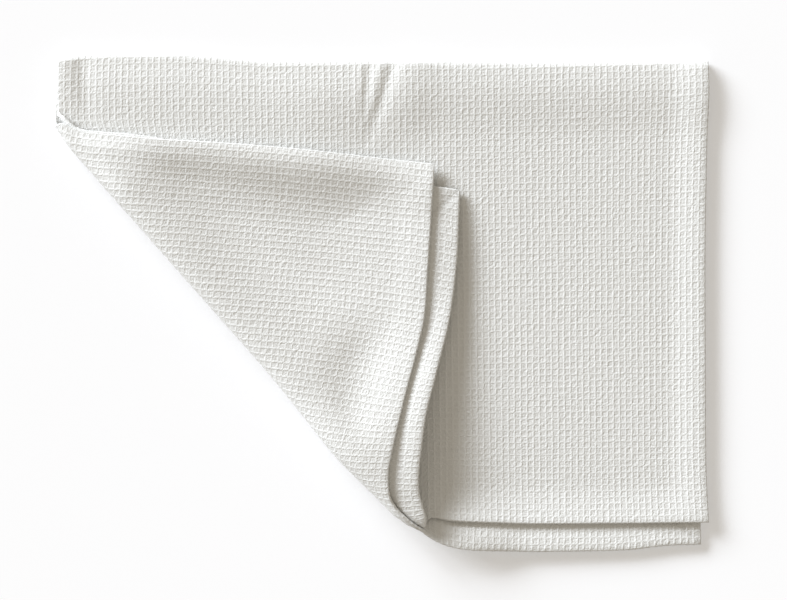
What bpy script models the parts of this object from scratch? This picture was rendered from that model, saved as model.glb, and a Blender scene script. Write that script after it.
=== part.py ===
"""Cloth napkin of waffle weave cotton, folded in half with one corner turned back over it.

The sheet is 450 x 660 mm. Its half-fold crease lies at the top (+Y), the upper layer's front
faces up and the lower layer's front lies on the table (z = 0). The lower left corner of both
layers is turned up over the upper layer, in a roll that grows fatter towards the foot edge.

A point of the sheet is known by its layer, u (across, from the left edge) and w (down from the
half-fold crease). The functions below lead it through the two folds to its place, and a mesh of
the flat sheet is carried there and given its thickness. Metres, +Z up.
"""
from math import cos, pi, radians, sin

import bmesh
import bpy
import numpy as np

# ---------------------------------------------------------------- the sheet
WIDE = 0.450              # across, with the hems turned
CLOTH = 0.0016            # thickness of one ply
HEM_WIDE = 0.0175         # hem turned to the back on all four edges
HEM_EXTRA = 0.0010        # what the turned ply adds at the hem's edge
HEM_STEP = 0.0015         # width of the step down from hem to single cloth
HEM_CREST = 0.0030        # cloth over a hem comes down from here
HEM_FALL = 0.0240         # and over this
GAP = 0.0008              # air between layers that lie on each other
LAID = CLOTH + GAP        # mid-surface to mid-surface of two single layers

# Length of each layer from the half-fold crease to its foot edge: the fold is a little skew.
DEEP = {"upper": {"left": 0.334, "right": 0.323},
        "lower": {"left": 0.326, "right": 0.337}}

# ---------------------------------------------------------------- the two layers, half-folded
# These places are in the drafting frame, whose point MIDDLE is the middle of the folded napkin.
MIDDLE = (-0.00116, 0.00144)
TOP_LEFT = (-0.2243, 0.1700)
TOP_RIGHT = (0.2260, 0.1686)
FOOT_LEFT = {"upper": (-0.2188, -0.1636), "lower": (-0.2435, -0.1512)}
FOOT_RIGHT = {"upper": (0.2271, -0.1539), "lower": (0.2215, -0.1707)}

# How far the edges bow away from straight lines. Rows: (distance along the edge, bow).
TOP_BOW = ((0, 0.0018), (0.04, 0.0046), (0.08, 0.0046), (0.12, 0.0020), (0.145, 0.0002), (0.25, 0.0006),
           (0.33, 0), (0.38, 0.0004), (WIDE, 0.0010))
FOOT_BOW = {
    "upper": ((0, -0.0012), (0.02, 0.0015), (0.04, 0.0046), (0.06, 0.0069), (0.09, 0.0088), (0.12, 0.0065),
              (0.16, 0.0015), (0.20, 0), (0.23, 0.0020), (0.24, 0.0011), (0.247, -0.0020),
              (0.255, -0.0108), (0.27, -0.0081), (0.29, -0.0066), (0.33, -0.0044), (WIDE, -0.0028)),
    "lower": ((0, -0.0014), (0.04, -0.0003), (0.07, 0.0016), (0.10, 0.0038), (0.12, 0.0023),
              (0.16, -0.0039), (0.18, -0.0077), (0.207, -0.0116), (0.22, -0.0105), (0.24, -0.0018),
              (0.25, -0.0004), (0.26, -0.0003), (0.27, 0.0018), (0.28, 0.0042), (0.29, 0.0056),
              (0.30, 0.0062), (0.335, 0.0058), (0.36, 0.0046), (0.40, 0.0019), (0.43, -0.0026),
              (WIDE, -0.0040))}
LEFT_BOW = {
    "upper": ((0, 0), (0.03, 0.0008), (0.042, 0.0008), (0.050, -0.0012), (0.058, -0.0020), (0.075, -0.0010),
              (0.095, 0.0007), (0.12, 0.0030), (0.14, 0.0032), (0.20, 0.0014), (0.34, 0)),
    "lower": ((0, 0), (0.035, 0.0006), (0.050, 0.0022), (0.058, 0.0056), (0.068, 0.0046), (0.09, 0.0036),
              (0.12, 0.0037), (0.16, 0.0044), (0.20, 0.0041), (0.24, 0.0030), (0.28, 0.0011),
              (0.34, -0.0014))}
RIGHT_BOW = ((0, 0), (0.02, 0.0005), (0.06, -0.0010), (0.15, -0.0025), (0.27, -0.0025), (0.34, 0))
FOOT_BOW_REACH = 0.12     # the bows die out over these distances into the cloth
TOP_BOW_REACH = 0.06
LEFT_BOW_REACH = 0.12
RIGHT_BOW_REACH = 0.10

# ---------------------------------------------------------------- heights
# Rows: (distance, height). The upper layer swells a little below the half-fold crease.
PUFF = ((0, 0), (0.008, 0.0009), (0.020, 0.0014), (0.055, 0), (0.40, 0))
# The turned-up corner's free edges lift: its side by y, its top by x.
SIDE_LIFT = ((-0.16, 0.003), (-0.12, 0.0055), (-0.06, 0.0062), (0, 0.0048), (0.04, 0.0042), (0.09, 0.001))
TOP_LIFT = ((-0.21, 0), (-0.15, 0.0008), (-0.09, 0.0022), (-0.05, 0.0024), (0, 0.0008), (0.05, 0))
SIDE_LIFT_REACH = 0.105
TOP_LIFT_REACH = 0.045
EDGE_DROOP = 0.0003       # the outer one's side edge bends down by this
EDGE_DROOP_REACH = 0.020
# The inner one's hem rises past the outer one's edge. Rows: (y, height)
HEM_RISE = ((-0.145, 0), (-0.12, 0.0014), (-0.09, 0.0022), (-0.055, 0.0022), (-0.02, 0.0010),
            (0.02, -0.0007), (0.07, -0.0010))
HEM_RISE_REACH = 0.021
# The outer one swells just below its top edge, most at its left end. Rows: (x, height)
EDGE_SWELL = ((-0.19, 0.0020), (-0.16, 0.0008), (-0.12, 0))
EDGE_SWELL_RISE = 0.010   # over this distance from the edge it rises,
EDGE_SWELL_FALL = 0.035   # and over this much more it dies out
# The sag of both: a line from (x, y) to (x, y), its half width and depth
HOLLOW_TOP = (-0.004, 0.005)
HOLLOW_FOOT = (-0.031, -0.118)
HOLLOW_HALF = 0.020
HOLLOW_DEEP = 0.0026
# Both layers' foot edges curl up off the floor. Rows: (x, height)
FOOT_CURL = ((-0.02, 0), (0.03, 0.0085), (0.055, 0.0085), (0.10, 0.0035), (0.20, 0.0020), (0.23, 0.0012))
FOOT_CURL_REACH = 0.055

# ---------------------------------------------------------------- the turned-up corner
FOLD_START = (-0.2214, 0.1131)
FOLD_ANGLE = radians(-48.5)
ALONG = (cos(FOLD_ANGLE), sin(FOLD_ANGLE))        # down the diagonal fold
OUTWARD = (sin(FOLD_ANGLE), -cos(FOLD_ANGLE))     # away from the napkin, across the fold
# Rows: (distance down the fold, value)
ROLL = ((-0.02, 0.0052), (0.02, 0.0066), (0.06, 0.0085), (0.15, 0.0085), (0.24, 0.0095), (0.31, 0.0118),
        (0.35, 0.0116), (0.38, 0.0108), (0.41, 0.0100))
ROLL_GAP = ((0, 0.0040), (0.02, 0.0040), (0.14, 0.0034), (0.23, 0.0036), (0.30, 0.0038), (0.335, 0.0042),
            (0.35, 0.0045), (0.41, 0.0045))
# The inner layer turns sooner than the outer one by:
INNER_BACK = ((-0.01, 0.0052), (0.01, 0.0044), (0.05, 0.0010), (0.15, 0), (0.41, 0))
OUTLINE_BOW = ((0, 0), (0.205, 0), (0.254, 0.0018), (0.286, 0.0034), (0.323, 0.0014), (0.345, 0),
               (0.355, -0.0022), (0.362, -0.0048), (0.369, -0.0074), (0.38, -0.0078), (0.41, -0.0078))
SETTLE = ((0, 0.045), (0.12, 0.050), (0.24, 0.085), (0.32, 0.105), (0.40, 0.11))
ROLL_NEAR = 0.035         # the upper layer rises to meet its roll over this

# Soft troughs and ridges of the upper layer: two tucks below the half-fold crease.
# Rows: (x at top, y at top, x at foot, y at foot, half width, height)
TUCKS = ((-0.2108, 0.172, -0.2088, 0.095, 0.0048, -0.0009),
         (-0.0160, 0.172, -0.0205, 0.125, 0.0035, 0.0004),
         (-0.0112, 0.172, -0.0150, 0.130, 0.0030, -0.0005),
         (-0.0020, 0.172, -0.0115, 0.118, 0.0055, 0.0006),
         (0.0062, 0.172, -0.0035, 0.112, 0.0045, -0.0007),
         (0.0190, 0.172, 0.0150, 0.110, 0.0160, 0.0010))

# ---------------------------------------------------------------- mesh of the flat sheet
CREASE_STEPS = 4          # rows in each layer's quarter turn at the half-fold
ROLL_STEPS = 9            # cuts across the roll of the turned-up corner
COLUMNS = (0, 0.009, HEM_WIDE, HEM_WIDE + HEM_STEP, 0.025, 0.032, 0.045, 0.065, 0.090, 0.115, 0.140,
           0.165, 0.185, 0.200, 0.210, 0.218, 0.225, 0.231, 0.237, 0.242, 0.247, 0.251, 0.256, 0.262,
           0.270, 0.280, 0.292, 0.310, 0.340, 0.370, 0.398, WIDE - 0.032, WIDE - 0.025,
           WIDE - HEM_WIDE - HEM_STEP, WIDE - HEM_WIDE, WIDE - 0.009, WIDE)
CREASE_ROWS = (0.010, 0.016, 0.023, 0.032, 0.045)
MIDDLE_ROWS = (0.20, 0.26, 0.32, 0.39, 0.46, 0.53, 0.60, 0.67, 0.74, 0.81, 0.86)
FOOT_ROWS = (0.032, 0.025, HEM_WIDE + HEM_STEP, HEM_WIDE, 0.009, 0)


def curve(rows, at):
    """Smooth curve through a table of (place, value) rows, without overshoot."""
    x, y = np.array(rows, float).T
    at = np.clip(at, x[0], x[-1])
    step = np.diff(x)
    rise = np.diff(y) / step
    slope = np.concatenate((rise[:1], np.zeros(len(x) - 2), rise[-1:]))
    same_way = rise[1:] * rise[:-1] > 0
    total = np.where(same_way, rise[1:] + rise[:-1], 1)
    slope[1:-1] = np.where(same_way, 2 * rise[1:] * rise[:-1] / total, 0)
    i = np.clip(np.searchsorted(x, at, side="right") - 1, 0, len(x) - 2)
    t = (at - x[i]) / step[i]
    ends = (1 + 2 * t) * (1 - t) ** 2 * y[i] + t * t * (3 - 2 * t) * y[i + 1]
    return ends + step[i] * (t * (1 - t) ** 2 * slope[i] - t * t * (1 - t) * slope[i + 1])


def ease(t):
    """0 to 1, smooth at both ends."""
    t = np.clip(t, 0, 1)
    return t * t * (3 - 2 * t)


def between(a, b, t):
    return a + (b - a) * t


# ---------------------------------------------------------------- lines of the half-folded layers

def deep(layer, u):
    return between(DEEP[layer]["left"], DEEP[layer]["right"], u / WIDE)


def top_y(x):
    """The half-fold crease, as y by x."""
    t = (x - TOP_LEFT[0]) / (TOP_RIGHT[0] - TOP_LEFT[0])
    return between(TOP_LEFT[1], TOP_RIGHT[1], t) + curve(TOP_BOW, t * WIDE)


def foot_y(layer, x):
    """A layer's foot edge, as y by x."""
    left, right = FOOT_LEFT[layer], FOOT_RIGHT[layer]
    t = (x - left[0]) / (right[0] - left[0])
    return between(left[1], right[1], t) - curve(FOOT_BOW[layer], t * WIDE)


def side_distance(layer, x, y):
    """Distance in from the nearer side edge of a layer."""
    t = (top_y(x) - y) / (top_y(x) - foot_y(layer, x))
    left = between(TOP_LEFT[0], FOOT_LEFT[layer][0], t)
    right = between(TOP_RIGHT[0], FOOT_RIGHT[layer][0], t)
    return np.minimum(x - left, right - x)


def over_hem(distance):
    """1 at a hemmed edge, easing to 0 further in."""
    return 1 - ease((distance - HEM_CREST) / HEM_FALL)


def crease_gap(x):
    """Mid-surface gap of the two layers at the half-fold."""
    return LAID + 2 * HEM_EXTRA * over_hem(np.minimum(x - TOP_LEFT[0], TOP_RIGHT[0] - x))


# ---------------------------------------------------------------- the diagonal fold

def fold_place(x, y):
    """Distances along the diagonal fold and outward across it."""
    dx, dy = x - FOLD_START[0], y - FOLD_START[1]
    return dx * ALONG[0] + dy * ALONG[1], dx * OUTWARD[0] + dy * OUTWARD[1]


def roll_start(layer, along):
    """Where, across the fold, a layer starts to turn."""
    back = curve(INNER_BACK, along) if layer == "upper" else 0
    return curve(OUTLINE_BOW, along) - curve(ROLL, along) - CLOTH / 2 - back


def roll_radius(layer, along):
    inner = curve(ROLL_GAP, along) if layer == "upper" else 0
    return curve(ROLL, along) - inner


# ---------------------------------------------------------------- heights, as functions of the plan

def tucks(x, y):
    """Height that the soft troughs and ridges add to the upper layer."""
    total = 0 * x
    for x0, y0, x1, y1, half_width, height in TUCKS:
        t = (y - y0) / (y1 - y0)
        across = (x - between(x0, x1, t)) / half_width
        total = total + height * np.exp(-across ** 2) * (1 - ease((t - 0.45) / 0.65))
    return total


def upper_gap(x, y):
    """Mid-surface gap of the upper layer above the lower one."""
    side = over_hem(side_distance("upper", x, y))
    foot = over_hem(y - foot_y("upper", x))
    side_below = over_hem(side_distance("lower", x, y))
    foot_below = over_hem(y - foot_y("lower", x))
    gap = LAID + HEM_EXTRA * (np.maximum(side, foot) + np.maximum(side_below, foot_below))
    gap = gap + curve(PUFF, top_y(x) - y) + tucks(x, y)
    along, across = fold_place(x, y)
    near = ease(1 + (across - roll_start("upper", along)) / ROLL_NEAR)
    return between(gap, curve(ROLL_GAP, along), near)


def foot_curl(x, y):
    """How far the layers on the floor curl up near the foot."""
    return curve(FOOT_CURL, x) * (1 - ease((y - foot_y("lower", x)) / FOOT_CURL_REACH)) ** 2


def flap_hollow(x, y):
    """How far both turned-up layers sag between the roll and their free side edge."""
    (x0, y0), (x1, y1) = HOLLOW_TOP, HOLLOW_FOOT
    t = (y - y0) / (y1 - y0)
    across = (x - between(x0, x1, t)) / HOLLOW_HALF
    return -HOLLOW_DEEP * np.exp(-across ** 2) * ease(t / 0.4) * ease((1 - t) / 0.4)


def inner_flap(x, y, top_line, side_line):
    """Mid-surface height of the upper layer where it is turned over."""
    from_side, from_top = np.interp(y, *side_line) - x, np.interp(x, *top_line) - y
    side = curve(SIDE_LIFT, y) * (1 - ease(from_side / SIDE_LIFT_REACH))
    top = curve(TOP_LIFT, x) * (1 - ease(from_top / TOP_LIFT_REACH))
    return CLOTH / 2 + upper_gap(x, y) + LAID + np.maximum(side, top)


def outer_flap(x, y, own_top, own_side, top_line, side_line):
    """Mid-surface height of the lower layer where it is turned over, by its distance from its own edges."""
    below_top = np.interp(x, *top_line) - y
    inner_hem = np.maximum(over_hem(below_top), over_hem(np.interp(y, *side_line) - x))
    gap = LAID + HEM_EXTRA * (over_hem(np.minimum(own_top, own_side)) + inner_hem)
    gap = gap - EDGE_DROOP * (1 - ease(own_side / EDGE_DROOP_REACH))
    droop = (LAID + HEM_EXTRA * inner_hem) * ease(-below_top / 0.025)
    return inner_flap(x, y, top_line, side_line) + gap - droop


# ---------------------------------------------------------------- from the flat sheet to its folds

def half_fold(layer, u, w):
    """Plan place of a point before the corner is turned up, and its angle round the crease."""
    radius = crease_gap(between(TOP_LEFT[0], TOP_RIGHT[0], u / WIDE)) / 2

    def drop(length):
        angle = np.clip(length / radius, 0, pi / 2)
        return CLOTH / 2 + radius * (1 - np.cos(angle)) + np.maximum(length - radius * pi / 2, 0)

    a = u / WIDE
    b = drop(w) / drop(deep(layer, u))
    foot_left, foot_right = FOOT_LEFT[layer], FOOT_RIGHT[layer]
    x = between(between(TOP_LEFT[0], TOP_RIGHT[0], a), between(foot_left[0], foot_right[0], a), b)
    y = between(between(TOP_LEFT[1], TOP_RIGHT[1], a), between(foot_left[1], foot_right[1], a), b)
    y = y + curve(TOP_BOW, u) * (1 - ease(w / TOP_BOW_REACH))
    y = y - curve(FOOT_BOW[layer], u) * ease(1 - (deep(layer, u) - w) / FOOT_BOW_REACH)
    x = x - curve(LEFT_BOW[layer], w) * (1 - ease(u / LEFT_BOW_REACH))
    x = x + curve(RIGHT_BOW, w) * ease(1 - (WIDE - u) / RIGHT_BOW_REACH)
    return x, y, np.clip(w / radius, 0, pi / 2), radius


def turn_corner(layer, x, y):
    """Plan place after the corner is turned up, with the distances past the fold's stages."""
    along, across = fold_place(x, y)
    start = roll_start(layer, along)
    radius = roll_radius(layer, along)
    into = across - start
    angle = np.clip(into / radius, 0, pi)
    past = np.maximum(into - pi * radius, 0)
    across = np.where(into > 0, start + radius * np.sin(angle) - past, across)
    x = FOLD_START[0] + along * ALONG[0] + across * OUTWARD[0]
    y = FOLD_START[1] + along * ALONG[1] + across * OUTWARD[1]
    return x, y, along, into, angle, past


def inner_flap_lines():
    """The turned-up upper layer's free edges: its top as y by x, its side as x by y."""
    def turned(u, w):
        x, y, _, _ = half_fold("upper", u, w)
        x, y, _, _, _, past = turn_corner("upper", x, y)
        return x[past > 0], y[past > 0]

    n = 160
    top_x, top_edge_y = turned(np.zeros(n), np.linspace(0.06, 1, n) * deep("upper", 0))
    u = np.linspace(0.26, 0, n)
    side_x, side_edge_y = turned(u, deep("upper", u))
    return (top_x, top_edge_y), (side_edge_y, side_x)


def make_place():
    """The function that carries a point (layer, u, w) of the sheet's mid-surface to its place."""
    top_line, side_line = inner_flap_lines()

    def place(layer, u, w):
        flat_x, flat_y, crease_angle, crease_radius = half_fold(layer, u, w)
        x, y, along, into, angle, past = turn_corner(layer, flat_x, flat_y)
        radius = roll_radius(layer, along)
        way = 1 if layer == "upper" else -1
        base = CLOTH / 2 + (upper_gap(flat_x, flat_y) if layer == "upper" else 0)
        at_crease = CLOTH / 2 + crease_radius * (1 + way * np.sin(crease_angle))
        base = np.where(crease_angle < pi / 2, at_crease, base)
        centre = CLOTH / 2 + curve(ROLL, along)
        roll = centre - radius * np.cos(angle)
        if layer == "upper":
            flap = inner_flap(x, y, top_line, side_line)
        else:
            flap = outer_flap(x, y, u, deep(layer, u) - w, top_line, side_line)
        clear = np.maximum(roll_start(layer, along) - fold_place(x, y)[1], 0)
        held = 1 - ease(clear / curve(SETTLE, along))
        flap = between(flap, centre + radius, held) + flap_hollow(x, y) * ease(clear / 0.02)
        if layer == "lower":
            swell = curve(EDGE_SWELL, x) * ease(u / EDGE_SWELL_RISE)
            flap = flap + swell * (1 - ease((u - EDGE_SWELL_RISE) / EDGE_SWELL_FALL)) * ease(clear / 0.006)
        else:
            flap = flap + curve(HEM_RISE, y) * (1 - ease((deep(layer, u) - w) / HEM_RISE_REACH))
        z = np.where(into <= 0, base, np.where(past > 0, flap, roll))
        back = np.maximum(into, 0)
        curl = foot_curl(flat_x - back * OUTWARD[0], flat_y - back * OUTWARD[1])
        z = z + curl * (1 - ease(angle / pi))
        return np.stack((x - MIDDLE[0], y - MIDDLE[1], z), axis=-1)

    return place


def hem_extra(layer, u, w):
    """Thickness that the turned hem adds on the back."""
    edge = np.minimum(np.minimum(u, WIDE - u), deep(layer, u) - w)
    return HEM_EXTRA * over_hem(edge) * (edge < HEM_WIDE + HEM_STEP / 2)


# ---------------------------------------------------------------- the mesh

def layer_rows(layer, u):
    """w of every row of the flat mesh, from the crease to the foot, at one column."""
    quarter = crease_gap(between(TOP_LEFT[0], TOP_RIGHT[0], u / WIDE)) * pi / 4
    length = deep(layer, u)
    rows = [quarter * k / CREASE_STEPS for k in range(1, CREASE_STEPS + 1)]
    rows += CREASE_ROWS
    rows += [length * t for t in MIDDLE_ROWS]
    rows += [length - d for d in FOOT_ROWS]
    return rows


def flat_sheet(bm):
    """The flat sheet as quads at (u, v, 0): v is w on the upper layer and -w on the lower one."""
    columns = []
    for u in COLUMNS:
        lower = [-w for w in reversed(layer_rows("lower", u))]
        columns.append([bm.verts.new((u, v, 0)) for v in lower + [0.0] + layer_rows("upper", u)])
    for left, right in zip(columns, columns[1:]):
        for i in range(len(left) - 1):
            bm.faces.new((left[i], right[i], right[i + 1], left[i + 1]))


def roll_line_point(layer, angle, on_left_edge):
    """Where the line of one angle round the roll meets the sheet's left edge or foot edge."""
    t = np.linspace(0.02, 0.98, 2000)
    u = 0 * t if on_left_edge else t * WIDE
    w = t * deep(layer, 0) if on_left_edge else deep(layer, u)
    x, y, _, _ = half_fold(layer, u, w)
    along, across = fold_place(x, y)
    off = across - roll_start(layer, along) - angle * roll_radius(layer, along)
    i = int(np.argmax(off > 0)) if on_left_edge else int(np.argmax(off < 0))
    return float(u[i]), float(w[i])


def cut_along_roll(bm, layer):
    """Cut the flat sheet along the lines where the roll turns by equal angles."""
    way = 1 if layer == "upper" else -1
    for k in range(ROLL_STEPS + 1):
        angle = pi * k / ROLL_STEPS
        u0, w0 = roll_line_point(layer, angle, True)
        u1, w1 = roll_line_point(layer, angle, False)
        faces = [f for f in bm.faces if f.calc_center_median().y * way > 0]
        edges = {e for f in faces for e in f.edges}
        verts = {v for f in faces for v in f.verts}
        normal = (way * (w1 - w0), -(u1 - u0), 0)
        bmesh.ops.bisect_plane(bm, geom=[*verts, *edges, *faces], dist=0.0002,
                               plane_co=(u0, way * w0, 0), plane_no=normal)


def carry(flat, place):
    """Places, front normals and hem thickness of flat (u, v) points."""
    spots, normals, extra = np.zeros((len(flat), 3)), np.zeros((len(flat), 3)), np.zeros(len(flat))
    step = 0.0004
    for layer, way in (("upper", 1), ("lower", -1)):
        mine = flat[:, 1] * way >= 0
        u, w = flat[mine, 0], np.abs(flat[mine, 1])
        spots[mine] = place(layer, u, w)
        extra[mine] = hem_extra(layer, u, w)
        u0, u1 = np.maximum(u - step, 0), np.minimum(u + step, WIDE)
        w0, w1 = np.maximum(w - step, 0), np.minimum(w + step, deep(layer, u))
        across = place(layer, u1, w) - place(layer, u0, w)
        down = place(layer, u, w1) - place(layer, u, w0)
        normal = np.cross(down, across) * way
        normals[mine] = normal / np.linalg.norm(normal, axis=1)[:, None]
    on_crease = np.abs(flat[:, 1]) < 1e-9
    normals[on_crease] = (0, 1, 0)
    return spots, normals, extra


def build_solid(name, material):
    """The folded sheet as one closed solid."""
    bm = bmesh.new()
    flat_sheet(bm)
    cut_along_roll(bm, "upper")
    cut_along_roll(bm, "lower")
    bmesh.ops.triangulate(bm, faces=bm.faces[:])
    bm.verts.index_update()
    flat = np.array([v.co for v in bm.verts])[:, :2]
    spots, normals, extra = carry(flat, make_place())
    front = spots + normals * CLOTH / 2
    back = spots - normals * (CLOTH / 2 + extra)[:, None]

    solid = bmesh.new()
    front_verts = [solid.verts.new(p) for p in front]
    back_verts = [solid.verts.new(p) for p in back]
    for face in bm.faces:
        i, j, k = (v.index for v in face.verts)
        solid.faces.new((front_verts[i], front_verts[k], front_verts[j]))
        solid.faces.new((back_verts[i], back_verts[j], back_verts[k]))
    for edge in bm.edges:
        if edge.is_boundary:
            i, j = (v.index for v in edge.verts)
            solid.faces.new((front_verts[i], front_verts[j], back_verts[j], back_verts[i]))
    bm.free()
    bmesh.ops.triangulate(solid, faces=[f for f in solid.faces if len(f.verts) > 3])
    bmesh.ops.recalc_face_normals(solid, faces=solid.faces[:])
    mesh = bpy.data.meshes.new(name)
    solid.to_mesh(mesh)
    solid.free()
    mesh.shade_smooth()
    mesh.materials.append(material)
    piece = bpy.data.objects.new(name, mesh)
    bpy.context.collection.objects.link(piece)
    return piece


def cotton():
    """Undyed off-white cotton."""
    material = bpy.data.materials.new("waffle_cotton")
    material.use_nodes = True
    shader = material.node_tree.nodes["Principled BSDF"]
    shader.inputs["Base Color"].default_value = (0.80, 0.79, 0.75, 1)
    shader.inputs["Roughness"].default_value = 0.95
    shader.inputs["Metallic"].default_value = 0
    return material


def main():
    for old in list(bpy.data.objects):
        bpy.data.objects.remove(old)
    build_solid("napkin_cloth", cotton())


main()
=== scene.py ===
"""Looks of the cloth napkin: one sheet of waffle weave cotton on the folds of its CAD solid.

The sheet is 450 x 660 mm, folded in half with its crease at the top (+Y), and its lower left corner is
turned back up over it in a roll. The upper layer's front faces up and the lower layer's front lies on
the floor (z = 0). A point of the sheet is known by its layer, u (across, from the left edge) and w
(down from the half-fold crease). The fold is worked out here as in the part's own source, from nearly the
same named values, and the weave's cells, ridges and turned hems are laid out over it. Metres, +Z up.
"""
from math import cos, pi, radians, sin

import bpy
import numpy as np
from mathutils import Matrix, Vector


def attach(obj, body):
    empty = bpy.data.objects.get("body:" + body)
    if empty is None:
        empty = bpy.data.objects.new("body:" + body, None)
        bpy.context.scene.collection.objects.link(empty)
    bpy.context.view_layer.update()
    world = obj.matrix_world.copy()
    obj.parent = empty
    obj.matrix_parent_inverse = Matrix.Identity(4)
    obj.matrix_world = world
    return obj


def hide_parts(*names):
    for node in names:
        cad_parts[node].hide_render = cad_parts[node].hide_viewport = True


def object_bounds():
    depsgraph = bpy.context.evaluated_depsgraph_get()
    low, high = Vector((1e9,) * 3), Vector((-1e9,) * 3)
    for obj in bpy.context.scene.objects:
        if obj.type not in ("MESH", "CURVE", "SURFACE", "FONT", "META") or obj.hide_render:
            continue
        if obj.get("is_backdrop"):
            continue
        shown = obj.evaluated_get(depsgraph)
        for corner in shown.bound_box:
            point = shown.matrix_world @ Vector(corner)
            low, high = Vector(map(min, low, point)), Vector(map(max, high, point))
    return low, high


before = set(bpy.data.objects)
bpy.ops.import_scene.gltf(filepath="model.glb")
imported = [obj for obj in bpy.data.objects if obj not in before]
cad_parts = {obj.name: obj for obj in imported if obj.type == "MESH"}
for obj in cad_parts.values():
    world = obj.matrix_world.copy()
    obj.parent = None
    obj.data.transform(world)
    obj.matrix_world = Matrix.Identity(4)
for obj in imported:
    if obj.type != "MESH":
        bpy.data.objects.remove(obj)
cad_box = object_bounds()

# ---------------------------------------------------------------- the sheet, as in the part's source
WIDE = 0.450              # across, with the hems turned
LONG = 0.660              # from the lower layer's foot edge to the upper layer's
CLOTH = 0.0016            # thickness of one ply
HEM_WIDE = 0.0175         # hem turned to the back on all four edges
HEM_EXTRA = 0.0010        # what the turned ply adds at the hem's edge
HEM_STEP = 0.0015         # width of the step down from hem to single cloth
HEM_CREST = 0.0030        # cloth over a hem comes down from here
HEM_FALL = 0.0240         # and over this
GAP = 0.0008              # air between layers that lie on each other
LAID = CLOTH + GAP        # mid-surface to mid-surface of two single layers

# Length of each layer from the half-fold crease to its foot edge: the fold is a little skew.
DEEP = {"upper": {"left": 0.334, "right": 0.323},
        "lower": {"left": 0.326, "right": 0.337}}

# ---------------------------------------------------------------- the two layers, half-folded
# These places are in the drafting frame, whose point MIDDLE is the middle of the folded napkin.
MIDDLE = (-0.00116, 0.00144)
TOP_LEFT = (-0.2243, 0.1700)
TOP_RIGHT = (0.2260, 0.1686)
FOOT_LEFT = {"upper": (-0.2188, -0.1636), "lower": (-0.2435, -0.1512)}
FOOT_RIGHT = {"upper": (0.2271, -0.1539), "lower": (0.2215, -0.1707)}

# How far the edges bow away from straight lines. Rows: (distance along the edge, bow).
TOP_BOW = ((0, 0.0018), (0.04, 0.0046), (0.08, 0.0046), (0.12, 0.0020), (0.145, 0.0002), (0.25, 0.0006),
           (0.33, 0), (0.38, 0.0004), (WIDE, 0.0010))
FOOT_BOW = {
    "upper": ((0, -0.0012), (0.02, 0.0015), (0.04, 0.0046), (0.06, 0.0069), (0.09, 0.0088), (0.12, 0.0065),
              (0.16, 0.0015), (0.20, 0), (0.23, 0.0020), (0.24, 0.0011), (0.247, -0.0020),
              (0.255, -0.0108), (0.27, -0.0081), (0.29, -0.0066), (0.33, -0.0044), (WIDE, -0.0028)),
    "lower": ((0, -0.0014), (0.04, -0.0003), (0.07, 0.0016), (0.10, 0.0038), (0.12, 0.0023),
              (0.16, -0.0039), (0.18, -0.0077), (0.207, -0.0116), (0.22, -0.0105), (0.24, -0.0018),
              (0.25, -0.0004), (0.26, -0.0003), (0.27, 0.0018), (0.28, 0.0042), (0.29, 0.0056),
              (0.30, 0.0062), (0.335, 0.0058), (0.36, 0.0046), (0.40, 0.0019), (0.43, -0.0026),
              (WIDE, -0.0040))}
LEFT_BOW = {
    "upper": ((0, 0), (0.03, 0.0008), (0.042, 0.0008), (0.050, -0.0018), (0.058, -0.0036), (0.075, -0.0026),
              (0.095, 0.0002), (0.12, 0.0030), (0.14, 0.0032), (0.20, 0.0014), (0.34, 0)),
    "lower": ((0, 0), (0.035, 0.0006), (0.050, 0.0022), (0.058, 0.0060), (0.068, 0.0048), (0.09, 0.0036),
              (0.12, 0.0037), (0.16, 0.0044), (0.20, 0.0041), (0.24, 0.0030), (0.28, 0.0011),
              (0.34, -0.0014))}
RIGHT_BOW = ((0, 0), (0.02, 0.0005), (0.06, -0.0010), (0.15, -0.0025), (0.27, -0.0025), (0.34, 0))
FOOT_BOW_REACH = 0.12     # the bows die out over these distances into the cloth
TOP_BOW_REACH = 0.06
LEFT_BOW_REACH = 0.12
RIGHT_BOW_REACH = 0.10

# ---------------------------------------------------------------- heights
# Rows: (distance, height). The upper layer swells a little below the half-fold crease.
PUFF = ((0, 0), (0.008, 0.0009), (0.020, 0.0014), (0.055, 0), (0.40, 0))
# It swells more beside the turned-up corner, left of x = SWELL_END. Rows: (distance, height)
SWELL = ((0.008, 0), (0.054, 0.0029), (0.060, 0.0029), (0.114, 0), (0.40, 0))
SWELL_END = 0.020
SWELL_FADE = 0.080        # and dies out over this distance before it
# The turned-up corner's free edges lift: its side by y, its top by x.
SIDE_LIFT = ((-0.16, 0.003), (-0.12, 0.0055), (-0.06, 0.0062), (0, 0.0047), (0.04, 0.0037), (0.09, 0.0009))
TOP_LIFT = ((-0.21, 0), (-0.15, 0.0008), (-0.09, 0.0022), (-0.05, 0.0024), (0, 0.0008), (0.05, 0))
SIDE_LIFT_REACH = 0.105
TOP_LIFT_REACH = 0.045
EDGE_DROOP = 0.0003       # the outer one's side edge bends down by this
EDGE_DROOP_REACH = 0.020
DROOP_PAST = 0.025        # past the inner one's top edge it comes down a layer over this
# The inner one's hem rises past the outer one's edge. Rows: (y, height)
HEM_RISE = ((-0.145, 0), (-0.12, 0.0014), (-0.09, 0.0022), (-0.055, 0.0022), (-0.02, 0.0010),
            (0.02, -0.0007), (0.07, -0.0010))
HEM_RISE_REACH = 0.021
# The outer one swells just below its top edge, most at its left end. Rows: (x, height)
EDGE_SWELL = ((-0.19, 0.0020), (-0.16, 0.0008), (-0.12, 0))
EDGE_SWELL_RISE = 0.010   # over this distance from the edge it rises,
EDGE_SWELL_FALL = 0.035   # and over this much more it dies out
EDGE_SWELL_CLEAR = 0.006  # it starts over this distance from the roll
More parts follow.
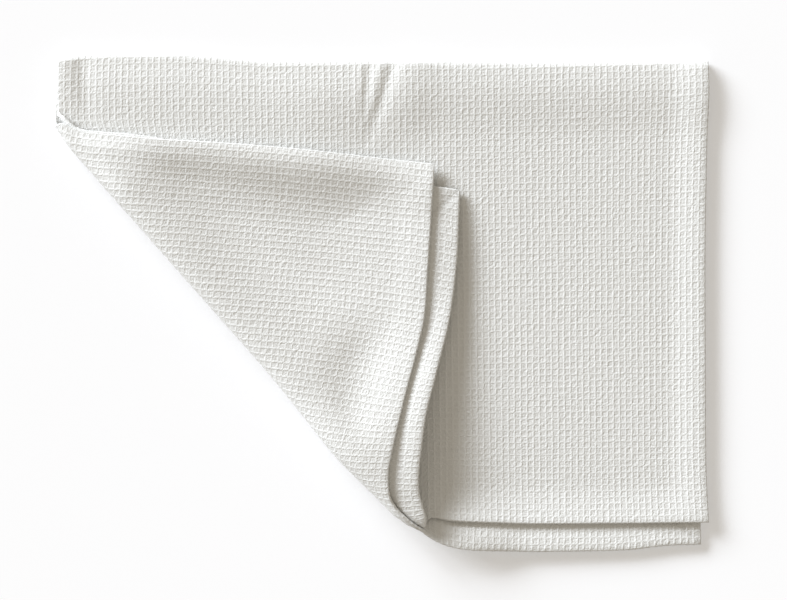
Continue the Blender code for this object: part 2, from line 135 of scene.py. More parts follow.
# Both sag along a line from SAG_TOP to SAG_FOOT (x, y), and it dies out over a share of its length.
SAG_TOP = (-0.004, 0.005)
SAG_FOOT = (-0.031, -0.118)
SAG_HALF = 0.020
SAG_DEEP = 0.0026
SAG_FADE = 0.4
SAG_CLEAR = 0.020         # it starts over this distance from the roll
# Both layers' foot edges curl up off the floor. Rows: (x, height)
FOOT_CURL = ((-0.02, 0), (0.03, 0.0085), (0.055, 0.0085), (0.10, 0.0035), (0.20, 0.0020), (0.23, 0.0012))
FOOT_CURL_REACH = 0.055

# ---------------------------------------------------------------- the turned-up corner
FOLD_START = (-0.2214, 0.1131)
FOLD_ANGLE = radians(-48.5)
ALONG = (cos(FOLD_ANGLE), sin(FOLD_ANGLE))        # down the diagonal fold
OUTWARD = (sin(FOLD_ANGLE), -cos(FOLD_ANGLE))     # away from the napkin, across the fold
# Rows: (distance down the fold, value)
ROLL = ((-0.02, 0.0052), (0.02, 0.0066), (0.06, 0.0085), (0.15, 0.0085), (0.24, 0.0095), (0.31, 0.0118),
        (0.35, 0.0116), (0.38, 0.0108), (0.41, 0.0100))
ROLL_GAP = ((0, 0.0040), (0.02, 0.0040), (0.14, 0.0034), (0.23, 0.0036), (0.30, 0.0038), (0.335, 0.0042),
            (0.35, 0.0045), (0.41, 0.0045))
# The inner layer's roll is smaller by ROLL_GAP, and it turns sooner than the outer one by:
INNER_BACK = ((-0.01, 0.0030), (0.01, 0.0032), (0.05, 0.0010), (0.15, 0), (0.41, 0))
OUTLINE_BOW = ((-0.02, -0.0032), (-0.010, -0.0022), (0, -0.0007), (0.008, 0), (0.205, 0), (0.254, 0.0018),
               (0.286, 0.0034), (0.323, 0.0014), (0.345, 0), (0.355, -0.0022), (0.362, -0.0048),
               (0.369, -0.0074), (0.38, -0.0078), (0.41, -0.0078))
# Past the roll the turned-up layers come down to their own height over:
SETTLE = ((0, 0.045), (0.12, 0.050), (0.24, 0.085), (0.32, 0.105), (0.40, 0.11))
ROLL_NEAR = 0.035         # the upper layer rises to meet its roll over this
# The turned-up layer's free edges are followed from well before the fold.
LINE_POINTS = 160
TOP_LINE_FROM = 0.06      # share of the left side, from the half-fold crease
SIDE_LINE_FROM = 0.26     # distance along the foot, from the left

# Soft troughs and ridges of the upper layer: one beside the left hem, and two tucks below the crease.
# Rows: (x at top, y at top, x at foot, y at foot, half width, height)
TUCKS = ((-0.2088, 0.172, -0.2068, 0.095, 0.0062, -0.0013),
         (-0.0132, 0.172, -0.0175, 0.125, 0.0035, 0.0004),
         (-0.0084, 0.172, -0.0122, 0.125, 0.0030, -0.0008),
         (0.0010, 0.172, -0.0100, 0.118, 0.0050, 0.0006),
         (0.0096, 0.172, -0.0125, 0.106, 0.0045, -0.0011),
         (0.0220, 0.172, 0.0120, 0.104, 0.0160, 0.0011))
TUCK_FADES_FROM = 0.45    # share of a tuck's length
TUCK_FADES_OVER = 0.65

# ---------------------------------------------------------------- the weave
CELLS_WIDE = 103
CELLS_LONG = 148
CELL_U = WIDE / CELLS_WIDE
CELL_T = LONG / CELLS_LONG
HEM_CELLS = 4             # cells across a hem
HOLLOW = 0.00040          # how far a cell's middle lies below its ridges in the mesh
HOLLOW_VARIES = 0.15      # share by which that varies, in lumps of HOLLOW_LUMP
HOLLOW_LUMP = 0.012
WALL = 0.00026            # height of a ridge's side as the material draws it
UNEVEN = 0.00006          # how far single ridges and hollows stray up and down
WANDER = 0.00028          # how far the threads stray sideways
WANDER_SIZE = 0.035
WANDER_FADE = 0.02        # they run true at the edges and stray more over this distance
RIDGE_HALF = 0.55         # half width of a ridge, as a share of half a cell
RIDGE_BLEND = 0.15        # softness of the corners where ridges cross
LEVEL_HIGH = 0.62         # height of the level ridges as a share of the upright ones
CROSSING_DIP = 0.35       # how far the upright ridges sink where the level ones cross
SWAY = 0.0009             # how far the drawn threads wobble
SWAY_SCALE = 160.0        # noise scales are lumps to the metre
YARNS_A_CELL = 8
YARN_HIGH = 0.00006
FUZZ_HIGH, FUZZ_SCALE = 0.00036, 1100.0
SLUB_HIGH, SLUB_SCALE = 0.00050, 330.0
PATCH_SCALE = 9.0
TONES = (0.750, 0.752, 0.735), (0.785, 0.788, 0.770)
# Painted shade: the cells' hollows are drawn darker and warmer than the cloth, as the shade that falls in
# them.
HOLLOW_SHADE_TONE = (0.64, 0.635, 0.61)
HOLLOW_SHADE_SHARE = 0.30        # how far a hollow takes that painted shade
EDGE_STEPS = 3            # rows of points round a hemmed edge
EDGE_BULGE = 0.0005
EDGE_RIDGE = 0.0003       # ridges that cross a hemmed edge stand out by this
MITRE_DIP = 0.0007        # groove of the mitre seam on the back of a corner
MITRE_HALF = 0.4          # its half width, in cells
NORMAL_STEP = 0.0004      # the surface's slope is measured over this much each way
EDGE_MAP_STEP = 0.001     # rows of an edge lie this far apart on the maps
SEED = 11

# ---------------------------------------------------------------- camera
CAMERA_HIGH = 1.60
FRAME_WIDE = 787 * 0.6966e-3      # what the picture spans at the floor
LOOKS_AT = (0.00917, 0.00135)
SENSOR = 36.0

# ---------------------------------------------------------------- light and floor
WINDOW_AZIMUTHS = (126, 138, 150)
WINDOW_ELEVATION = 17
WINDOW_SPREAD = 18        # degrees that each of its suns spans
WINDOW_ENERGY = 6.6
WINDOW_COLOR = (0.88, 0.93, 1.0)
ROOM_COLOR = (1.0, 0.91, 0.78)
ROOM_STRENGTH = 0.46
FLOOR_HALF = 4.0
FLOOR_COLOR = (0.74, 0.745, 0.76)
FLOOR_GLOW = 0.24         # lifts the floor to the near white of a studio sweep


def curve(rows, at):
    """Smooth curve through a table of (place, value) rows, without overshoot."""
    x, y = np.array(rows, float).T
    at = np.clip(at, x[0], x[-1])
    step = np.diff(x)
    rise = np.diff(y) / step
    slope = np.concatenate((rise[:1], np.zeros(len(x) - 2), rise[-1:]))
    same_way = rise[1:] * rise[:-1] > 0
    total = np.where(same_way, rise[1:] + rise[:-1], 1)
    slope[1:-1] = np.where(same_way, 2 * rise[1:] * rise[:-1] / total, 0)
    i = np.clip(np.searchsorted(x, at, side="right") - 1, 0, len(x) - 2)
    t = (at - x[i]) / step[i]
    ends = (1 + 2 * t) * (1 - t) ** 2 * y[i] + t * t * (3 - 2 * t) * y[i + 1]
    return ends + step[i] * (t * (1 - t) ** 2 * slope[i] - t * t * (1 - t) * slope[i + 1])


def ease(t):
    """0 to 1, smooth at both ends."""
    t = np.clip(t, 0, 1)
    return t * t * (3 - 2 * t)


def between(a, b, t):
    return a + (b - a) * t


def drift(a, b, size, seed):
    """Smooth seeded noise of about -1 to 1 over two coordinates, with lumps of one size."""
    many = 64
    grid = np.random.default_rng(seed).uniform(-1, 1, (many, many))
    a, b = a / size + 20, b / size + 20
    i, j = np.floor(a).astype(int), np.floor(b).astype(int)
    s, t = ease(a - i), ease(b - j)
    near = between(grid[i % many, j % many], grid[(i + 1) % many, j % many], s)
    far = between(grid[i % many, (j + 1) % many], grid[(i + 1) % many, (j + 1) % many], s)
    return between(near, far, t)


# ---------------------------------------------------------------- lines of the half-folded layers

def deep(layer, u):
    return between(DEEP[layer]["left"], DEEP[layer]["right"], u / WIDE)


def top_y(x):
    """The half-fold crease, as y by x."""
    t = (x - TOP_LEFT[0]) / (TOP_RIGHT[0] - TOP_LEFT[0])
    return between(TOP_LEFT[1], TOP_RIGHT[1], t) + curve(TOP_BOW, t * WIDE)


def foot_y(layer, x):
    """A layer's foot edge, as y by x."""
    left, right = FOOT_LEFT[layer], FOOT_RIGHT[layer]
    t = (x - left[0]) / (right[0] - left[0])
    return between(left[1], right[1], t) - curve(FOOT_BOW[layer], t * WIDE)


def side_distance(layer, x, y):
    """Distance in from the nearer side edge of a layer."""
    t = (top_y(x) - y) / (top_y(x) - foot_y(layer, x))
    left = between(TOP_LEFT[0], FOOT_LEFT[layer][0], t)
    right = between(TOP_RIGHT[0], FOOT_RIGHT[layer][0], t)
    return np.minimum(x - left, right - x)


def over_hem(distance):
    """1 at a hemmed edge, easing to 0 further in."""
    return 1 - ease((distance - HEM_CREST) / HEM_FALL)


def crease_gap(x):
    """Mid-surface gap of the two layers at the half-fold."""
    return LAID + 2 * HEM_EXTRA * over_hem(np.minimum(x - TOP_LEFT[0], TOP_RIGHT[0] - x))


# ---------------------------------------------------------------- the diagonal fold

def fold_place(x, y):
    """Distances along the diagonal fold and outward across it."""
    dx, dy = x - FOLD_START[0], y - FOLD_START[1]
    return dx * ALONG[0] + dy * ALONG[1], dx * OUTWARD[0] + dy * OUTWARD[1]


def roll_start(layer, along):
    """Where, across the fold, a layer starts to turn."""
    back = curve(INNER_BACK, along) if layer == "upper" else 0
    return curve(OUTLINE_BOW, along) - curve(ROLL, along) - CLOTH / 2 - back


def roll_radius(layer, along):
    inner = curve(ROLL_GAP, along) if layer == "upper" else 0
    return curve(ROLL, along) - inner


# ---------------------------------------------------------------- heights, as functions of the plan

def tucks(x, y):
    """Height that the soft troughs and ridges add to the upper layer."""
    total = 0 * x
    for x0, y0, x1, y1, half_width, height in TUCKS:
        t = (y - y0) / (y1 - y0)
        across = (x - between(x0, x1, t)) / half_width
        total = total + height * np.exp(-across ** 2) * (1 - ease((t - TUCK_FADES_FROM) / TUCK_FADES_OVER))
    return total


def upper_gap(x, y):
    """Mid-surface gap of the upper layer above the lower one."""
    side = over_hem(side_distance("upper", x, y))
    foot = over_hem(y - foot_y("upper", x))
    side_below = over_hem(side_distance("lower", x, y))
    foot_below = over_hem(y - foot_y("lower", x))
    gap = LAID + HEM_EXTRA * (np.maximum(side, foot) + np.maximum(side_below, foot_below))
    gap = gap + curve(PUFF, top_y(x) - y) + tucks(x, y)
    gap = gap + curve(SWELL, top_y(x) - y) * ease((SWELL_END - x) / SWELL_FADE)
    along, across = fold_place(x, y)
    near = ease(1 + (across - roll_start("upper", along)) / ROLL_NEAR)
    return between(gap, curve(ROLL_GAP, along), near)


def foot_curl(x, y):
    """How far the layers on the floor curl up near the foot."""
    return curve(FOOT_CURL, x) * (1 - ease((y - foot_y("lower", x)) / FOOT_CURL_REACH)) ** 2


def flap_sag(x, y):
    """How far both turned-up layers sag between the roll and their free side edge."""
    (x0, y0), (x1, y1) = SAG_TOP, SAG_FOOT
    t = (y - y0) / (y1 - y0)
    across = (x - between(x0, x1, t)) / SAG_HALF
    return -SAG_DEEP * np.exp(-across ** 2) * ease(t / SAG_FADE) * ease((1 - t) / SAG_FADE)


def inner_flap(x, y, top_line, side_line):
    """Mid-surface height of the upper layer where it is turned over."""
    from_side, from_top = np.interp(y, *side_line) - x, np.interp(x, *top_line) - y
    side = curve(SIDE_LIFT, y) * (1 - ease(from_side / SIDE_LIFT_REACH))
    top = curve(TOP_LIFT, x) * (1 - ease(from_top / TOP_LIFT_REACH))
    return CLOTH / 2 + upper_gap(x, y) + LAID + np.maximum(side, top)


def outer_flap(x, y, own_top, own_side, top_line, side_line):
    """Mid-surface height of the lower layer where it is turned over, by its distance from its own edges."""
    below_top = np.interp(x, *top_line) - y
    inner_hem = np.maximum(over_hem(below_top), over_hem(np.interp(y, *side_line) - x))
    gap = LAID + HEM_EXTRA * (over_hem(np.minimum(own_top, own_side)) + inner_hem)
    gap = gap - EDGE_DROOP * (1 - ease(own_side / EDGE_DROOP_REACH))
    droop = (LAID + HEM_EXTRA * inner_hem) * ease(-below_top / DROOP_PAST)
    return inner_flap(x, y, top_line, side_line) + gap - droop


# ---------------------------------------------------------------- from the flat sheet to its folds

def half_fold(layer, u, w):
    """Plan place of a point before the corner is turned up, and its angle round the crease."""
    radius = crease_gap(between(TOP_LEFT[0], TOP_RIGHT[0], u / WIDE)) / 2

    def drop(length):
        angle = np.clip(length / radius, 0, pi / 2)
        return CLOTH / 2 + radius * (1 - np.cos(angle)) + np.maximum(length - radius * pi / 2, 0)

    a = u / WIDE
    b = drop(w) / drop(deep(layer, u))
    foot_left, foot_right = FOOT_LEFT[layer], FOOT_RIGHT[layer]
    x = between(between(TOP_LEFT[0], TOP_RIGHT[0], a), between(foot_left[0], foot_right[0], a), b)
    y = between(between(TOP_LEFT[1], TOP_RIGHT[1], a), between(foot_left[1], foot_right[1], a), b)
    y = y + curve(TOP_BOW, u) * (1 - ease(w / TOP_BOW_REACH))
    y = y - curve(FOOT_BOW[layer], u) * ease(1 - (deep(layer, u) - w) / FOOT_BOW_REACH)
    x = x - curve(LEFT_BOW[layer], w) * (1 - ease(u / LEFT_BOW_REACH))
    x = x + curve(RIGHT_BOW, w) * ease(1 - (WIDE - u) / RIGHT_BOW_REACH)
    return x, y, np.clip(w / radius, 0, pi / 2), radius


def turn_corner(layer, x, y):
    """Plan place after the corner is turned up, with the distances past the fold's stages."""
    along, across = fold_place(x, y)
    start = roll_start(layer, along)
    radius = roll_radius(layer, along)
    into = across - start
    angle = np.clip(into / radius, 0, pi)
    past = np.maximum(into - pi * radius, 0)
    across = np.where(into > 0, start + radius * np.sin(angle) - past, across)
    x = FOLD_START[0] + along * ALONG[0] + across * OUTWARD[0]
    y = FOLD_START[1] + along * ALONG[1] + across * OUTWARD[1]
    return x, y, along, into, angle, past


def inner_flap_lines():
    """The turned-up upper layer's free edges: its top as y by x, its side as x by y."""
    def turned(u, w):
        x, y, _, _ = half_fold("upper", u, w)
        x, y, _, _, _, past = turn_corner("upper", x, y)
        return x[past > 0], y[past > 0]

    down = np.linspace(TOP_LINE_FROM, 1, LINE_POINTS) * deep("upper", 0)
    top_x, top_edge_y = turned(np.zeros(LINE_POINTS), down)
    u = np.linspace(SIDE_LINE_FROM, 0, LINE_POINTS)
    side_x, side_edge_y = turned(u, deep("upper", u))
    return (top_x, top_edge_y), (side_edge_y, side_x)


def make_place():
    """The function that carries a point (layer, u, w) of the sheet's mid-surface to its place."""
    top_line, side_line = inner_flap_lines()

    def place(layer, u, w):
        flat_x, flat_y, crease_angle, crease_radius = half_fold(layer, u, w)
        x, y, along, into, angle, past = turn_corner(layer, flat_x, flat_y)
        radius = roll_radius(layer, along)
        way = 1 if layer == "upper" else -1
        base = CLOTH / 2 + (upper_gap(flat_x, flat_y) if layer == "upper" else 0)
        at_crease = CLOTH / 2 + crease_radius * (1 + way * np.sin(crease_angle))
        base = np.where(crease_angle < pi / 2, at_crease, base)
        centre = CLOTH / 2 + curve(ROLL, along)
        roll = centre - radius * np.cos(angle)
        if layer == "upper":
            flap = inner_flap(x, y, top_line, side_line)
        else:
            flap = outer_flap(x, y, u, deep(layer, u) - w, top_line, side_line)
        clear = np.maximum(roll_start(layer, along) - fold_place(x, y)[1], 0)
        held = 1 - ease(clear / curve(SETTLE, along))
        flap = between(flap, centre + radius, held) + flap_sag(x, y) * ease(clear / SAG_CLEAR)
        if layer == "lower":
            rise, fall = ease(u / EDGE_SWELL_RISE), 1 - ease((u - EDGE_SWELL_RISE) / EDGE_SWELL_FALL)
            flap = flap + curve(EDGE_SWELL, x) * rise * fall * ease(clear / EDGE_SWELL_CLEAR)
        else:
            flap = flap + curve(HEM_RISE, y) * (1 - ease((deep(layer, u) - w) / HEM_RISE_REACH))
        z = np.where(into <= 0, base, np.where(past > 0, flap, roll))
        back = np.maximum(into, 0)
        curl = foot_curl(flat_x - back * OUTWARD[0], flat_y - back * OUTWARD[1])
        z = z + curl * (1 - ease(angle / pi))
        return np.stack((x - MIDDLE[0], y - MIDDLE[1], z), axis=-1)

    return place


# ---------------------------------------------------------------- the woven sheet

def sheet_grid():
    """Flat places (u, t) of the weave's ridge lines and cell middles, t from the lower foot edge."""
    columns, rows = np.meshgrid(np.arange(2 * CELLS_WIDE + 1), np.arange(2 * CELLS_LONG + 1), indexing="ij")
    return columns, rows, columns * CELL_U / 2, rows * CELL_T / 2


def edge_distance(u, t):
    """Distance in from the sheet's nearest edge."""
    return np.minimum(np.minimum(u, WIDE - u), np.minimum(t, LONG - t))


def carry(place, u, t):
    """Mid-surface places and front normals of flat points (u, t)."""
    spots, normals = np.zeros(u.shape + (3,)), np.zeros(u.shape + (3,))
    crease = deep("lower", u)
    for layer, way in (("upper", 1), ("lower", -1)):
        mine = (t - crease) * way >= 0
        at, w = u[mine], np.abs(t - crease)[mine]
        spots[mine] = place(layer, at, w)
        u0, u1 = np.maximum(at - NORMAL_STEP, 0), np.minimum(at + NORMAL_STEP, WIDE)
        w0, w1 = np.maximum(w - NORMAL_STEP, 0), np.minimum(w + NORMAL_STEP, deep(layer, at))
        across = place(layer, u1, w) - place(layer, u0, w)
        down = place(layer, at, w1) - place(layer, at, w0)
        normal = np.cross(down, across) * way
        normals[mine] = normal / np.linalg.norm(normal, axis=1)[:, None]
    return spots, normals


def woven_surfaces():
    """Front and back points of the sheet on the weave's grid, and its normals."""
    columns, rows, u, t = sheet_grid()
    inside = ease(edge_distance(u, t) / WANDER_FADE) * WANDER
    strayed_u = u + inside * drift(u, t, WANDER_SIZE, SEED)
    strayed_t = t + inside * drift(u, t, WANDER_SIZE, SEED + 1)
    spots, normals = carry(make_place(), strayed_u, strayed_t)
    in_hollow = (columns % 2) * (rows % 2)
    stray = np.random.default_rng(SEED).normal(0, UNEVEN, u.shape)
    varied = 1 + HOLLOW_VARIES * drift(u, t, HOLLOW_LUMP, SEED + 2)
    depth = HOLLOW * in_hollow * varied + np.maximum(stray, 0)
    edge = edge_distance(u, t)
    hem = over_hem(edge) * (edge < HEM_WIDE + HEM_STEP / 2)
    from_side, from_end = np.minimum(u, WIDE - u), np.minimum(t, LONG - t)
    mitre = np.exp(-((from_side - from_end) / (MITRE_HALF * CELL_U)) ** 2)
    front = spots + normals * (CLOTH / 2 - depth)[..., None]
    below = CLOTH / 2 + HEM_EXTRA * hem - np.where(hem > 0, depth + MITRE_DIP * mitre, 0)
    back = spots - normals * below[..., None]
    return front, back, normals


def outline_indices():
    """Grid indices (column, row) round the sheet's edge, in order."""
    last_column, last_row = 2 * CELLS_WIDE, 2 * CELLS_LONG
    foot = [(i, 0) for i in range(last_column)]
    right = [(last_column, j) for j in range(last_row)]
    top = [(i, last_row) for i in range(last_column, 0, -1)]
    left = [(0, j) for j in range(last_row, 0, -1)]
    return foot + right + top + left


def edge_profile(front, back, normals):
    """Points round the hemmed edge, from front to back: one row of EDGE_STEPS for each outline point."""
    last_column, last_row = 2 * CELLS_WIDE, 2 * CELLS_LONG
    ring = []
    for i, j in outline_indices():
        inner = (min(max(i, 1), last_column - 1), min(max(j, 1), last_row - 1))
        out = (front[i, j] + back[i, j]) - (front[inner] + back[inner])
        out -= normals[i, j] * out.dot(normals[i, j])
        out /= np.linalg.norm(out)
        centre, half = (front[i, j] + back[i, j]) / 2, (front[i, j] - back[i, j]) / 2
        bulge = EDGE_BULGE + EDGE_RIDGE * ((i + j) % 2 == 0)
        angles = [pi * (k + 1) / (EDGE_STEPS + 1) for k in range(EDGE_STEPS)]
        ring.append([centre + half * cos(a) + out * bulge * sin(a) for a in angles])
    return ring


class Shape:
    """Points and faces of the sheet's mesh, each corner with its place on the flat sheet."""

    def __init__(self):
        self.points, self.index, self.faces, self.flat, self.on_back = [], {}, [], [], []

    def point(self, key, spot):
        if key not in self.index:
            self.index[key] = len(self.points)
            self.points.append(spot)
        return self.index[key]

    def face(self, corners, flat, on_back):
        self.faces.append(corners)
        self.flat.extend(flat)
        self.on_back.extend([on_back] * len(corners))


def add_fronts(shape, front):
    """Four quads a cell."""
    for i in range(2 * CELLS_WIDE):
        for j in range(2 * CELLS_LONG):
            ring = ((i, j), (i, j + 1), (i + 1, j + 1), (i + 1, j))
            corners = [shape.point(("front", *k), front[k]) for k in ring]
            shape.face(corners, [(a * CELL_U / 2, b * CELL_T / 2) for a, b in ring], False)


def add_backs(shape, back):
    """Four quads a cell on the hems and one face a cell between them."""
    def in_hem(i, j):
        return not (HEM_CELLS <= i < CELLS_WIDE - HEM_CELLS and HEM_CELLS <= j < CELLS_LONG - HEM_CELLS)

    for i in range(CELLS_WIDE):
        for j in range(CELLS_LONG):
            a, b = 2 * i, 2 * j
            if in_hem(i, j):
                rings = [((p, q), (p + 1, q), (p + 1, q + 1), (p, q + 1))
                         for p in (a, a + 1) for q in (b, b + 1)]
            else:
                ring = [(a, b)] + [(a + 1, b)] * in_hem(i, j - 1)
                ring += [(a + 2, b)] + [(a + 2, b + 1)] * in_hem(i + 1, j)
                ring += [(a + 2, b + 2)] + [(a + 1, b + 2)] * in_hem(i, j + 1)
                ring += [(a, b + 2)] + [(a, b + 1)] * in_hem(i - 1, j)
                rings = [ring]
            for ring in rings:
                corners = [shape.point(("back", *k), back[k]) for k in ring]
                shape.face(corners, [(p * CELL_U / 2, q * CELL_T / 2) for p, q in ring], True)


def add_edges(shape, front, back, normals):
    """The rounded outer side of the hems."""
    ring = edge_profile(front, back, normals)
    names = outline_indices()
    for n, here in enumerate(names):
        there = names[(n + 1) % len(names)]
        lines, flats = [], []
        for name, spots in ((here, ring[n]), (there, ring[(n + 1) % len(names)])):
            line = [shape.point(("front", *name), front[name])]
            line += [shape.point(("edge", k, *name), spot) for k, spot in enumerate(spots)]
            lines.append(line + [shape.point(("back", *name), back[name])])
            out_u = (name[0] == 2 * CELLS_WIDE) - (name[0] == 0)
            out_t = (name[1] == 2 * CELLS_LONG) - (name[1] == 0)
            flat_u, flat_t = name[0] * CELL_U / 2, name[1] * CELL_T / 2
            flats.append([(flat_u + out_u * k * EDGE_MAP_STEP, flat_t + out_t * k * EDGE_MAP_STEP)
                          for k in range(EDGE_STEPS + 2)])
        for k in range(EDGE_STEPS + 1):
            corners = [lines[0][k], lines[1][k], lines[1][k + 1], lines[0][k + 1]]
            shape.face(corners, [flats[0][k], flats[1][k], flats[1][k + 1], flats[0][k + 1]], False)


def add_maps(mesh, shape):
    """UV maps: places on the flat sheet in metres for the weave, and front and back side by side."""
    flat = np.array(shape.flat)
    weave = mesh.uv_layers.new(name="Weave")
    weave.data.foreach_set("uv", flat.ravel())
    margin, across, along = 0.006, 0.47, 0.985
    beside = np.stack((margin + flat[:, 0] / WIDE * across + 0.502 * np.array(shape.on_back),
                       (1 - along) / 2 + flat[:, 1] / LONG * along), axis=-1)
    laid_out = mesh.uv_layers.new(name="OFBake")
    laid_out.data.foreach_set("uv", beside.ravel())


def napkin(material):
    """The whole sheet as one closed mesh."""
    front, back, normals = woven_surfaces()
    shape = Shape()
    add_fronts(shape, front)
    add_backs(shape, back)
    add_edges(shape, front, back, normals)
    mesh = bpy.data.meshes.new("napkin")
    mesh.from_pydata(shape.points, [], shape.faces)
    add_maps(mesh, shape)
    mesh.shade_smooth()
    mesh.materials.append(material)
    piece = bpy.data.objects.new("napkin", mesh)
    bpy.context.collection.objects.link(piece)
    return piece


# ---------------------------------------------------------------- materials

class Graph:
    """Short calls that add shader nodes to a material."""

    def __init__(self, name):
        self.material = bpy.data.materials.new(name)
        self.material.use_nodes = True
        self.tree = self.material.node_tree
        self.shader = self.tree.nodes["Principled BSDF"]

    def node(self, kind, inputs, **settings):
        made = self.tree.nodes.new(kind)
        for name, value in settings.items():
            setattr(made, name, value)
        for name, value in inputs.items():
            if isinstance(value, bpy.types.NodeSocket):
                self.tree.links.new(value, made.inputs[name])
            else:
                made.inputs[name].default_value = value
        return made

    def math(self, operation, *values):
        return self.node("ShaderNodeMath", dict(enumerate(values)), operation=operation).outputs[0]

    def vector(self, operation, *values):
        return self.node("ShaderNodeVectorMath", dict(enumerate(values)), operation=operation).outputs[0]

    def fall(self, value, reach):
        """1 at 0, easing to 0 at reach."""
        inputs = {"Value": value, "From Min": 0.0, "From Max": reach, "To Min": 1.0, "To Max": 0.0}
        return self.node("ShaderNodeMapRange", inputs, interpolation_type="SMOOTHSTEP").outputs[0]

    def noise(self, vector, scale, detail=2.0):
        inputs = {"Vector": vector, "Scale": scale, "Detail": detail}
        return self.node("ShaderNodeTexNoise", inputs).outputs["Fac"]

    def mix(self, factor, a, b):
        made = self.node("ShaderNodeMix", {"Factor": factor}, data_type="RGBA")
        for socket, value in ((made.inputs[6], a), (made.inputs[7], b)):
            if isinstance(value, bpy.types.NodeSocket):
                self.tree.links.new(value, socket)
            else:
                socket.default_value = (*value, 1)
        return made.outputs[2]


def waffle_cotton():
    """Off-white honeycomb cotton: ridges round sunken cells, single yarns, a little unevenness, and painted
    shade in the hollows.
    """
    graph = Graph("waffle_cotton_visual")
    flat = graph.node("ShaderNodeUVMap", {}, uv_map="Weave").outputs[0]
    sway = graph.node("ShaderNodeTexNoise", {"Vector": flat, "Scale": SWAY_SCALE, "Detail": 2.0})
    sway = graph.vector("SUBTRACT", sway.outputs["Color"], (0.5, 0.5, 0.5))
    weave = graph.vector("MULTIPLY_ADD", sway, (SWAY, SWAY, 0), flat)
    parts = graph.node("ShaderNodeSeparateXYZ", {"Vector": weave}).outputs
    u, t = parts["X"], parts["Y"]

    # Distance from the nearest ridge across the cell each way, 0 on the ridge and 1 in the middle.
    off_u = graph.math("MULTIPLY", graph.math("PINGPONG", u, CELL_U / 2), 2 / CELL_U)
    off_t = graph.math("MULTIPLY", graph.math("PINGPONG", t, CELL_T / 2), 2 / CELL_T)
    level = graph.math("MULTIPLY", graph.fall(off_t, RIDGE_HALF), LEVEL_HIGH)
    crossing = graph.math("MULTIPLY_ADD", graph.fall(off_t, RIDGE_HALF), -CROSSING_DIP, 1.0)
    upright = graph.math("MULTIPLY", graph.fall(off_u, RIDGE_HALF), crossing)
    ridge = graph.math("SMOOTH_MAX", upright, level, RIDGE_BLEND)

    # Warp yarns show beside the upright ridges, weft yarns beside the level ones.
    yarn_u = graph.math("ABSOLUTE", graph.math("SINE", graph.math("MULTIPLY", u, pi * YARNS_A_CELL / CELL_U)))
    yarn_t = graph.math("ABSOLUTE", graph.math("SINE", graph.math("MULTIPLY", t, pi * YARNS_A_CELL / CELL_T)))
    warp_shows = graph.math("LESS_THAN", off_u, off_t)
    weft_shows = graph.math("SUBTRACT", 1.0, warp_shows)
    warp, weft = graph.math("MULTIPLY", yarn_u, warp_shows), graph.math("MULTIPLY", yarn_t, weft_shows)
    yarn = graph.math("ADD", warp, weft)

    fuzz = graph.noise(flat, FUZZ_SCALE, 3.0)
    slub = graph.noise(flat, SLUB_SCALE)
    height = graph.math("MULTIPLY", ridge, WALL)
    height = graph.math("MULTIPLY_ADD", yarn, YARN_HIGH, height)
    height = graph.math("MULTIPLY_ADD", fuzz, FUZZ_HIGH, height)
    height = graph.math("MULTIPLY_ADD", slub, SLUB_HIGH, height)
    bump = graph.node("ShaderNodeBump", {"Strength": 1.0, "Distance": 1.0, "Height": height}).outputs[0]
    graph.tree.links.new(bump, graph.shader.inputs["Normal"])

    tone = graph.mix(graph.noise(flat, PATCH_SCALE, 3.0), *TONES)
    # Painted shade: away from the ridges, the hollows are darkened and warmed towards the hollow tone.
    hollow = graph.math("SUBTRACT", 1.0, ridge)
    tone = graph.mix(graph.math("MULTIPLY", hollow, HOLLOW_SHADE_SHARE), tone, HOLLOW_SHADE_TONE)
    graph.tree.links.new(tone, graph.shader.inputs["Base Color"])
    graph.shader.inputs["Roughness"].default_value = 0.9
    graph.shader.inputs["Specular IOR Level"].default_value = 0.25
    graph.shader.inputs["Sheen Weight"].default_value = 0.2
    graph.shader.inputs["Sheen Roughness"].default_value = 0.5
    return graph.material


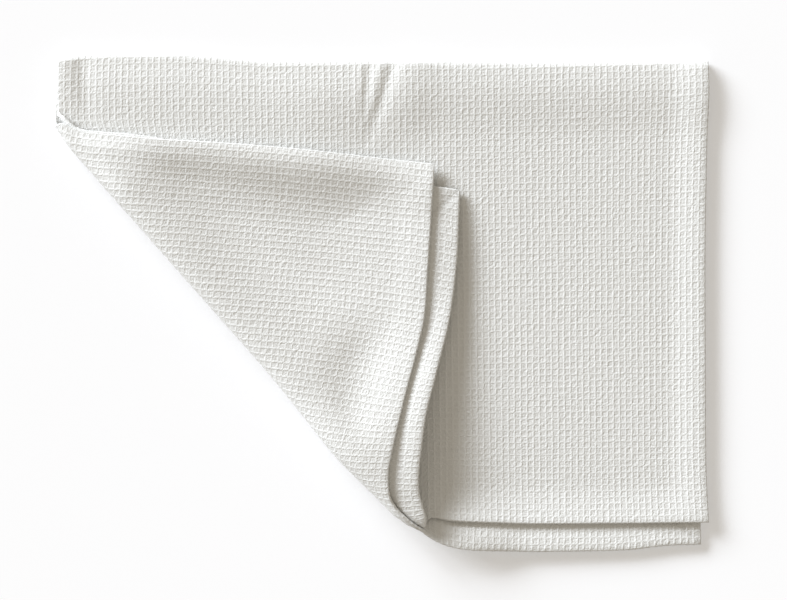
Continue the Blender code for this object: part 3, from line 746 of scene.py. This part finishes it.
def floor_paint():
    """Matt, pale and plain."""
    graph = Graph("floor_paint")
    graph.shader.inputs["Base Color"].default_value = (*FLOOR_COLOR, 1)
    graph.shader.inputs["Emission Color"].default_value = (1, 1, 1, 1)
    graph.shader.inputs["Emission Strength"].default_value = FLOOR_GLOW
    graph.shader.inputs["Roughness"].default_value = 0.9
    graph.shader.inputs["Specular IOR Level"].default_value = 0.0
    return graph.material


# ---------------------------------------------------------------- stage

def add_floor():
    corners = [(a * FLOOR_HALF, b * FLOOR_HALF, 0) for a, b in ((-1, -1), (1, -1), (1, 1), (-1, 1))]
    mesh = bpy.data.meshes.new("floor")
    mesh.from_pydata(corners, [], [(0, 1, 2, 3)])
    mesh.materials.append(floor_paint())
    floor = bpy.data.objects.new("floor", mesh)
    bpy.context.collection.objects.link(floor)
    floor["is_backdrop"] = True


def add_lights():
    """A broad low window light from the upper left, as three suns side by side, and a warm room."""
    for azimuth in WINDOW_AZIMUTHS:
        data = bpy.data.lights.new("window", "SUN")
        data.energy = WINDOW_ENERGY / len(WINDOW_AZIMUTHS)
        data.color = WINDOW_COLOR
        data.angle = radians(WINDOW_SPREAD)
        window = bpy.data.objects.new("window", data)
        turn, rise = radians(azimuth), radians(WINDOW_ELEVATION)
        towards = Vector((cos(turn) * cos(rise), sin(turn) * cos(rise), sin(rise)))
        window.rotation_mode = "QUATERNION"
        window.rotation_quaternion = towards.to_track_quat("Z", "Y")
        bpy.context.collection.objects.link(window)
    world = bpy.data.worlds.new("room")
    world.use_nodes = True
    background = world.node_tree.nodes["Background"]
    background.inputs["Color"].default_value = (*ROOM_COLOR, 1)
    background.inputs["Strength"].default_value = ROOM_STRENGTH
    bpy.context.scene.world = world


def add_camera():
    data = bpy.data.cameras.new("camera")
    data.sensor_width = SENSOR
    data.lens = SENSOR * CAMERA_HIGH / FRAME_WIDE
    camera = bpy.data.objects.new("camera", data)
    camera.location = (*LOOKS_AT, CAMERA_HIGH)
    bpy.context.collection.objects.link(camera)
    bpy.context.scene.camera = camera
    bpy.context.scene.view_settings.view_transform = "Standard"


cloth = napkin(waffle_cotton())
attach(cloth, "root")
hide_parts("napkin_cloth")
add_floor()
add_lights()
add_camera()

boxes = {"cad": cad_box, "visual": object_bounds()}
{name: [list(corner) for corner in box] for name, box in boxes.items()}
